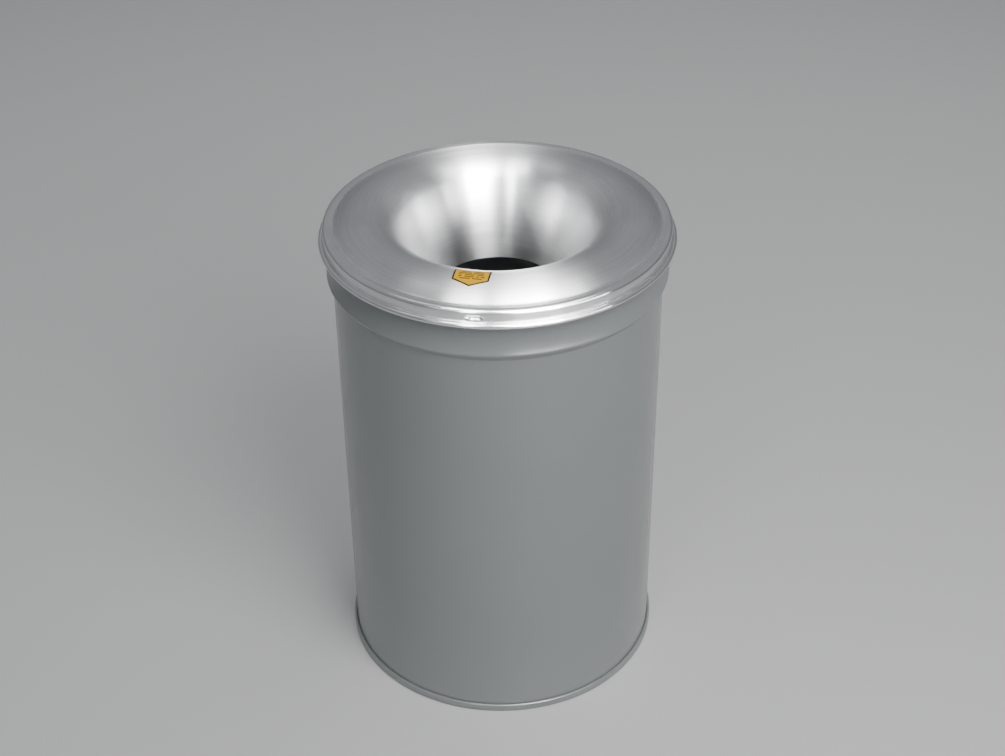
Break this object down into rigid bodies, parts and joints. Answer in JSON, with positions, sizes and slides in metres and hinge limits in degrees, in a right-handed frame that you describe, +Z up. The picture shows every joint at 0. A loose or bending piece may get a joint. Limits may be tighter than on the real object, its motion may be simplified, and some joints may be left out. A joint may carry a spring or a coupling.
{
  "type": "self-extinguishing waste drum",
  "caption": "Round sheet-steel waste drum with a lift-off spun aluminium head whose funnel leads to an open throat.",
  "frame": {"origin": "centre of the drum's foot, on the floor", "axes": "+Z up along the drum's axis, -Y towards the front"},
  "size_m": [0.4984, 0.4984, 0.73],
  "materials": {
    "grey_painted_steel": "semi-gloss grey enamel",
    "bare_steel": "plain drawn wire",
    "spun_aluminium": "satin, with fine turning lines",
    "sealing_compound": "matt",
    "yellow_vinyl": "satin printed vinyl"
  },
  "bodies": {
    "drum": {"drum_side": "grey_painted_steel", "rim_wire": "bare_steel", "side_weld_seam": "grey_painted_steel", "drum_bottom": "grey_painted_steel", "seam_compound": "sealing_compound"},
    "head": {"head_shell": "spun_aluminium", "yellow_label": "yellow_vinyl"}
  },
  "joints": [
    {"name": "head_lift", "type": "slide", "parent": "drum", "child": "head", "axis": [0, 0, 1], "range_m": [0, 0.2]}
  ]
}
